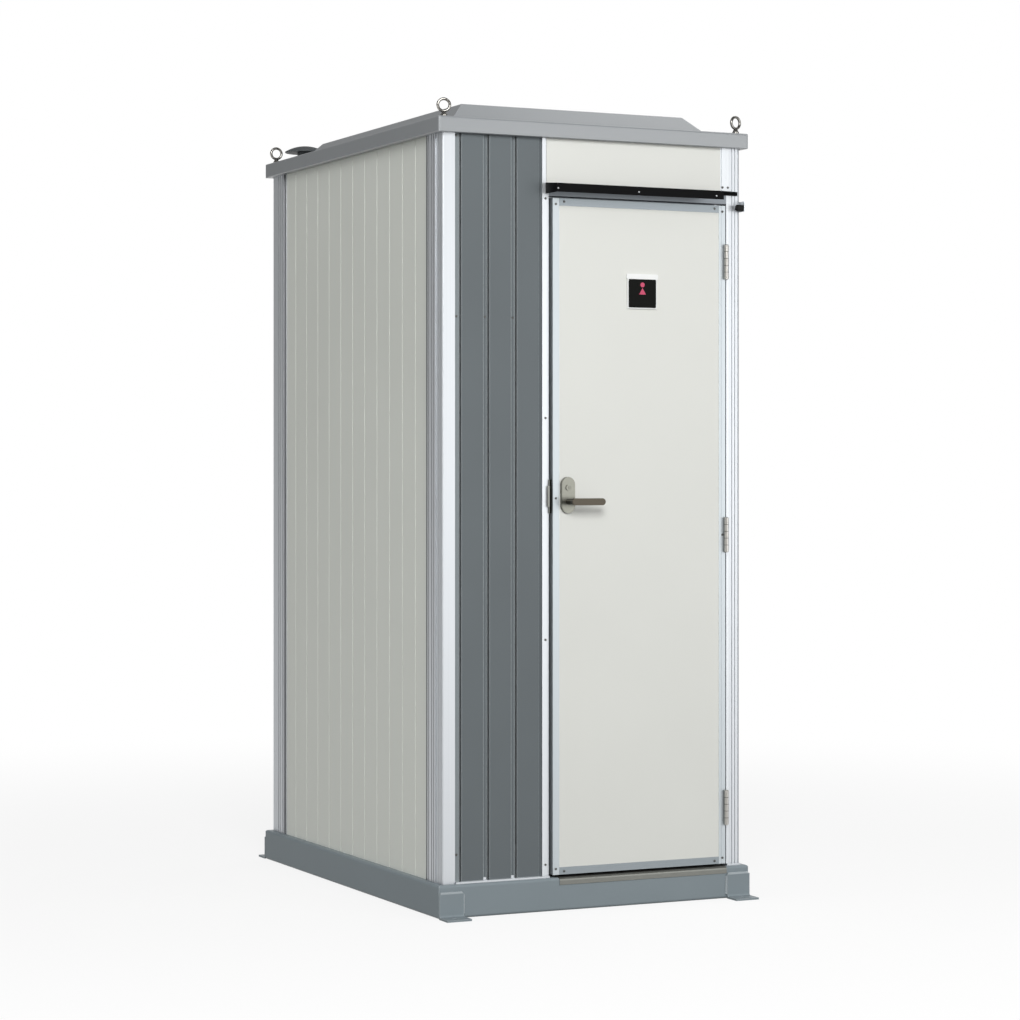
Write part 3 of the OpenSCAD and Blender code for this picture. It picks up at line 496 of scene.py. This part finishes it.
def door_screws():
    """Screws that hold the edging's corners and its stiles' middles."""
    low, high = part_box("door_stiles")
    stile_in, stile_end, rail_in, rail_end = 9.5 * MM, 17 * MM, 36 * MM, 9 * MM
    over_lever = 10 * MM
    by_lever = joint_at["lever_turn"].z + over_lever
    by_hinge = joint_at["door_swing"].z
    shape = bmesh.new()
    for x, inward, middle in ((low.x, 1, by_lever), (high.x, -1, by_hinge)):
        for z, into in ((low.z, 1), (high.z, -1)):
            screw(shape, Vector((x + inward * stile_in, low.y, z + into * stile_end)), -Y_AXIS)
            screw(shape, Vector((x + inward * rail_in, low.y, z + into * rail_end)), -Y_AXIS)
        screw(shape, Vector((x + inward * stile_in, low.y, middle)), -Y_AXIS)
    finished(shape, "door_screws", "door", SCREW_STEEL)


def strap_screws():
    """Two screws through the door stop's strap into the post."""
    low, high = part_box("door_stop_strap")
    end_in, back_in = 8 * MM, 12 * MM
    shape = bmesh.new()
    for z in (low.z + end_in, high.z - end_in):
        screw(shape, Vector((high.x, high.y - back_in, z)), X_AXIS)
    finished(shape, "strap_screws", "cabin", SCREW_STEEL)


def hood_rivets():
    """Three rivets along the hood's lip."""
    low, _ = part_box("rain_hood")
    lip_up, end_in, middle_x, right_x = 10 * MM, 4.5 * MM, 0.105, 0.361
    rivet_r, rivet_tall = 2.6, 1.3
    lip_z = low.z + lip_up
    shape = bmesh.new()
    for x in (low.x + end_in, middle_x, right_x):
        dome_head(shape, Vector((x, low.y, lip_z)), -Y_AXIS, rivet_r, rivet_tall)
    finished(shape, "hood_rivets", "cabin", RIVET_ALUMINIUM)


def hinge_caps():
    """Domed pin ends on each hinge, and washers between its knuckles, drawn thick enough to show."""
    low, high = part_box("frame_hinges")
    axis = joint_at["door_swing"]
    hinge_tall, knuckle_tall, knuckles = 99.5 * MM, 20 * MM, 5
    cap_r, cap_tall = 5.6, 2.6
    washer_r, washer_tall, washer_drop = 6.7, 1.3, 0.9 * MM
    bottoms = (low.z, (low.z + high.z - hinge_tall) / 2, high.z - hinge_tall)
    caps = bmesh.new()
    washers = bmesh.new()
    for z in bottoms:
        dome_head(caps, Vector((axis.x, axis.y, z + hinge_tall)), Z_AXIS, cap_r, cap_tall)
        dome_head(caps, Vector((axis.x, axis.y, z)), -Z_AXIS, cap_r, cap_tall)
        for i in range(1, knuckles):
            foot = Vector((axis.x, axis.y, z + i * knuckle_tall - washer_drop))
            top, _, _ = turned(washers, foot, Z_AXIS, [(washer_r, 0), (washer_r, washer_tall)])
            washers.faces.new(top)
    finished(caps, "hinge_caps", "cabin", HINGE_ZINC)
    finished(washers, "hinge_washers", "cabin", FINISH["stop_rubber"])


# Seals, clips and welds

def crowned(width, depth):
    """A rubber strip's section: flat behind, its face crowned."""
    steps = 8
    crown = depth / 4
    bulge = [crown * math.sin(math.pi * k / steps) for k in range(steps + 1)]
    face = [(width * (1 - k / steps), depth - crown + rise) for k, rise in enumerate(bulge)]
    return [(0, 0), (width, 0)] + face


def door_seals():
    """Black seals on the door stops, just clear of the closed leaf."""
    left_low, left_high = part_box("jamb_left")
    right_low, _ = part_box("jamb_right")
    head_low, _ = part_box("door_head")
    _, leaf_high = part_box("door_stiles")
    width, edge, clear = 10, 1.0 * MM, 0.7 * MM
    stop_back, foot_up, head_short = 6 * MM, 6 * MM, 1 * MM
    stop_y = left_high.y - stop_back
    section = crowned(width, (stop_y - leaf_high.y - clear) / MM)
    foot_z = left_low.z + foot_up
    tall = (head_low.z - head_short - foot_z) * Z_AXIS
    shape = bmesh.new()
    drawn(shape, section, Vector((left_high.x - edge, stop_y, foot_z)), tall, -X_AXIS, -Y_AXIS)
    drawn(shape, section, Vector((right_low.x + edge, stop_y, foot_z)), tall, X_AXIS, -Y_AXIS)
    start = Vector((left_high.x - edge - width * MM, stop_y, head_low.z + edge))
    run = (right_low.x - left_high.x + 2 * (edge + width * MM)) * X_AXIS
    drawn(shape, section, start, run, Z_AXIS, -Y_AXIS)
    finished(shape, "door_seals", "cabin", FINISH["stop_rubber"])


def wall_strips():
    """Black strips that fill the stiles' rebates and slots to just under their faces, beside the wall panels, so
    these read as dark lines.
    """
    stile, lip, floor = 78 * MM, 2 * MM, 9 * MM
    rebate, strip_w, strip_deep, strip_shallow = 13 * MM, 12.4, 3.5, 7.5
    slots, slot_w, slot_floor, slot_fill = (17, 31, 52), 4.0, 5.0, 4.2
    shape = bmesh.new()
    for wall, stiles, out, across in (("left_wall", "left_stiles", -X_AXIS, Y_AXIS),
                                      ("right_wall", "right_stiles", X_AXIS, Y_AXIS),
                                      ("rear_wall", "rear_stiles", Y_AXIS, X_AXIS)):
        low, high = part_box(wall)
        face_low, face_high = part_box(stiles)
        face = max(face_low.dot(out), face_high.dot(out))
        tall = (face_high.z - face_low.z) * Z_AXIS
        for end, away, depth in ((low.dot(across), -1, strip_shallow), (high.dot(across), 1, strip_deep)):
            rebate_strip = end + away * (lip + rebate / 2 - strip_w / 2 * MM)
            start = (face - floor) * out + rebate_strip * across + face_low.z * Z_AXIS
            drawn(shape, crowned(strip_w, depth), start, tall, away * across, out)
            for slot in slots:
                slot_at = end + away * (stile - slot * MM - slot_w * MM)
                start = (face - slot_floor * MM) * out + slot_at * across + face_low.z * Z_AXIS
                drawn(shape, crowned(slot_w, slot_fill), start, tall, away * across, out)
    finished(shape, "wall_strips", "cabin", FINISH["stop_rubber"])


def board_joints():
    """Black joint strips in the gaps between the starter strip and the boards."""
    row = ["cladding_starter", "cladding_board_left", "cladding_board_middle", "cladding_board_right"]
    face_back, slack = 2.5 * MM, 0.1
    shape = bmesh.new()
    for board, following in zip(row, row[1:]):
        low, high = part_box(board)
        next_low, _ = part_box(following)
        face = next_low.y + face_back
        section = crowned((next_low.x - high.x) / MM - 2 * slack, (high.y - face) / MM)
        start = Vector((high.x + slack * MM, high.y, low.z))
        drawn(shape, section, start, (high.z - low.z) * Z_AXIS, X_AXIS, -Y_AXIS)
    finished(shape, "board_joints", "cabin", FINISH["stop_rubber"])


def sill_clips():
    """Small bent clips on the sill that hold the boards' tongues."""
    _, sill_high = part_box("front_sill")
    starter_low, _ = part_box("cladding_starter")
    sheet, reach, rise, width = 1.4, 9, 8, 11
    board_face, tongue_back = 2 * MM, 15 * MM
    section = [(0, 0), (reach, 0), (reach, sheet), (sheet, sheet), (sheet, rise), (0, rise)]
    shape = bmesh.new()
    for board in ("cladding_board_left", "cladding_board_middle"):
        _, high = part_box(board)
        start = Vector((high.x - tongue_back, starter_low.y + board_face, sill_high.z))
        drawn(shape, section, start, width * MM * X_AXIS, -Y_AXIS, Z_AXIS)
    finished(shape, "sill_clips", "cabin", NODE_FINISH["front_sill"])


def foot_welds():
    """Beads along the top and the inner edge of each foot, where it meets the skid, in a lighter enamel that is
    painted highlight.
    """
    end_in, round_rise = 4 * MM, 14 * MM
    shape = bmesh.new()
    for end, out in (("front", -Y_AXIS), ("rear", Y_AXIS)):
        for side, inward in (("left", X_AXIS), ("right", -X_AXIS)):
            low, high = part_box(f"foot_{end}_{side}")
            face_y = high.y if end == "front" else low.y
            inner_x = high.x if side == "left" else low.x
            top_from = Vector((low.x + end_in, face_y, high.z))
            top_to = Vector((high.x - end_in, face_y, high.z))
            weld_bead(shape, top_from, top_to, out, Z_AXIS)
            low_end = Vector((inner_x, face_y, round_rise))
            high_end = Vector((inner_x, face_y, high.z - end_in))
            weld_bead(shape, low_end, high_end, out, inward)
    finished(shape, "foot_welds", "cabin", WELD_PAINT_LIT)


# The sign on the door

def sign_rim():
    """The holder's white rim down both sides of the sign and under it."""
    low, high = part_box("sign_plate")
    _, holder_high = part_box("sign_holder")
    wide, short_of_face = 4.0, 0.3
    section = crowned(wide, (holder_high.y - low.y) / MM - short_of_face)
    corner = Vector((low.x - wide * MM, holder_high.y, low.z - wide * MM))
    tall = (high.z - low.z + wide * MM) * Z_AXIS
    shape = bmesh.new()
    drawn(shape, section, corner, tall, X_AXIS, -Y_AXIS)
    drawn(shape, section, corner + (high.x - low.x + wide * MM) * X_AXIS, tall, X_AXIS, -Y_AXIS)
    drawn(shape, section, corner + wide * MM * X_AXIS, (high.x - low.x) * X_AXIS, Z_AXIS, -Y_AXIS)
    finished(shape, "sign_rim", "door", FINISH["sign_clear"])


def sign_figure():
    """A plain washroom figure printed on the sign: a round head over a triangular body."""
    low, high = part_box("sign_plate")
    middle = (low.x + high.x) / 2
    head_r, head_down, body_down, body_tall, body_half = 7, 16, 25, 19, 11
    head_sides, ink_thick = 40, 0.25 * MM
    ink = -ink_thick * Y_AXIS
    turns = [2 * math.pi * i / head_sides for i in range(head_sides)]
    head = [(head_r * math.cos(a), head_r * math.sin(a)) for a in turns]
    body = [(0, 0), (-body_half, -body_tall), (body_half, -body_tall)]
    shape = bmesh.new()
    drawn(shape, head, Vector((middle, low.y, high.z - head_down * MM)), ink, X_AXIS, Z_AXIS)
    drawn(shape, body, Vector((middle, low.y, high.z - body_down * MM)), ink, X_AXIS, Z_AXIS)
    finished(shape, "sign_figure", "door", PINK_PRINT)


place_camera()
light_dome()
softbox("key", place=(-2.2, -6.0, 4.2), aim=(-0.1, -0.7, 1.2), width=2.4, height=2.4, watts=280)
softbox("side", place=(3.2, -6.0, 1.8), aim=(0, -0.7, 1.3), width=4.0, height=3.2, watts=120)
softbox("left", place=(-6.5, 0.4, 1.3), aim=(-0.5, 0, 1.2), width=5.0, height=2.4, watts=62)
softbox("top", place=(2.6, 0.5, 5.5), aim=(0, 0, 2.3), width=3.2, height=2.6, watts=40)
lay_floor()
dress_nodes()
front_screws()
door_screws()
strap_screws()
hood_rivets()
hinge_caps()
door_seals()
wall_strips()
board_joints()
sill_clips()
foot_welds()
sign_rim()
sign_figure()

bpy.context.scene.view_settings.view_transform = "Standard"
